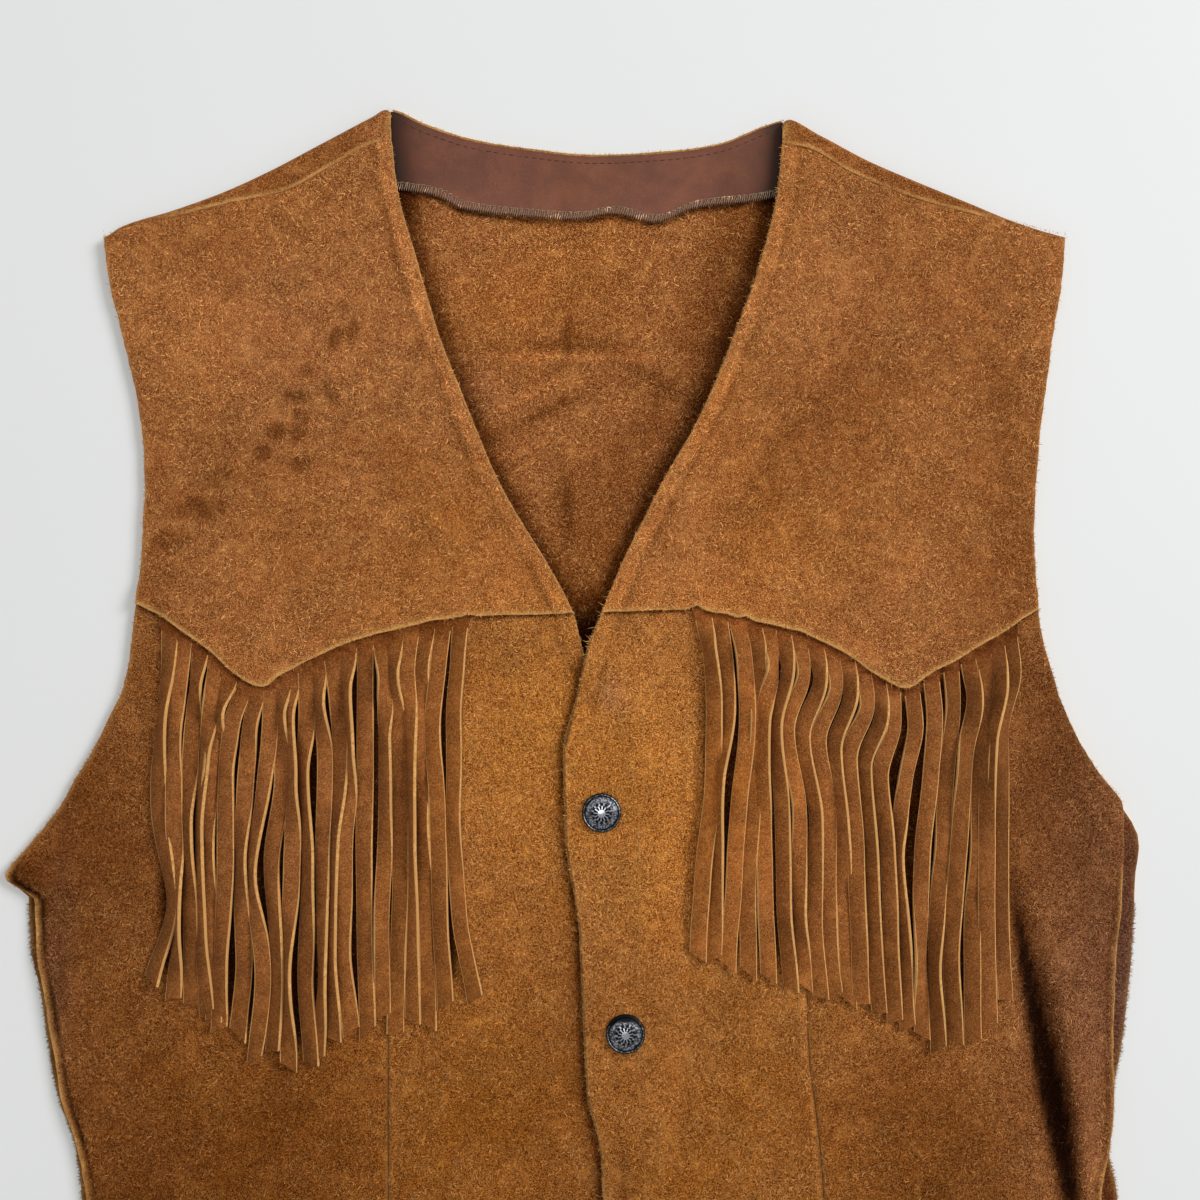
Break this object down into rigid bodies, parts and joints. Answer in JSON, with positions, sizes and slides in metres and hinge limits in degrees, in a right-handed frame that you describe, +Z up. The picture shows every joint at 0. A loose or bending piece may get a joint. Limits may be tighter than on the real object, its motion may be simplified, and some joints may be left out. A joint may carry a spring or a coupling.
{
  "type": "fringed suede vest",
  "caption": "Sleeveless western vest of brown suede, snapped closed and laid flat, with pointed front yokes and cut fringe at the yoke seams.",
  "frame": {"origin": "on the surface the vest lies on, at the middle of the vest's length and width", "axes": "+X to the right as the vest is looked down on, +Y from the hem to the neck, +Z up"},
  "size_m": [0.479, 0.5794, 0.0104],
  "materials": {
    "back_suede": "brushed suede, napped, dark rust brown",
    "facing_leather": "smooth side of the hide, matt purple brown, overlocked edge",
    "yoke_suede": "brushed suede, napped, light tan brown with pale worn edges",
    "front_suede": "brushed suede, napped, orange tan",
    "side_suede": "brushed suede, napped, rust brown",
    "fringe_suede": "cut suede strips with pale raw edges",
    "snap_metal": "domed caps in antique nickel with a raised petal pattern, darkened in the hollows"
  },
  "bodies": {
    "root": {"back_panel": "back_suede", "back_neck_facing": "facing_leather", "front_yoke_left": "yoke_suede", "front_yoke_right": "yoke_suede", "front_side_left": "side_suede", "front_center_left": "front_suede", "front_center_right": "front_suede", "front_side_right": "side_suede", "fringe_left": "fringe_suede", "fringe_right": "fringe_suede", "snap_cap_1": "snap_metal", "snap_cap_2": "snap_metal", "snap_cap_3": "snap_metal"}
  },
  "joints": []
}
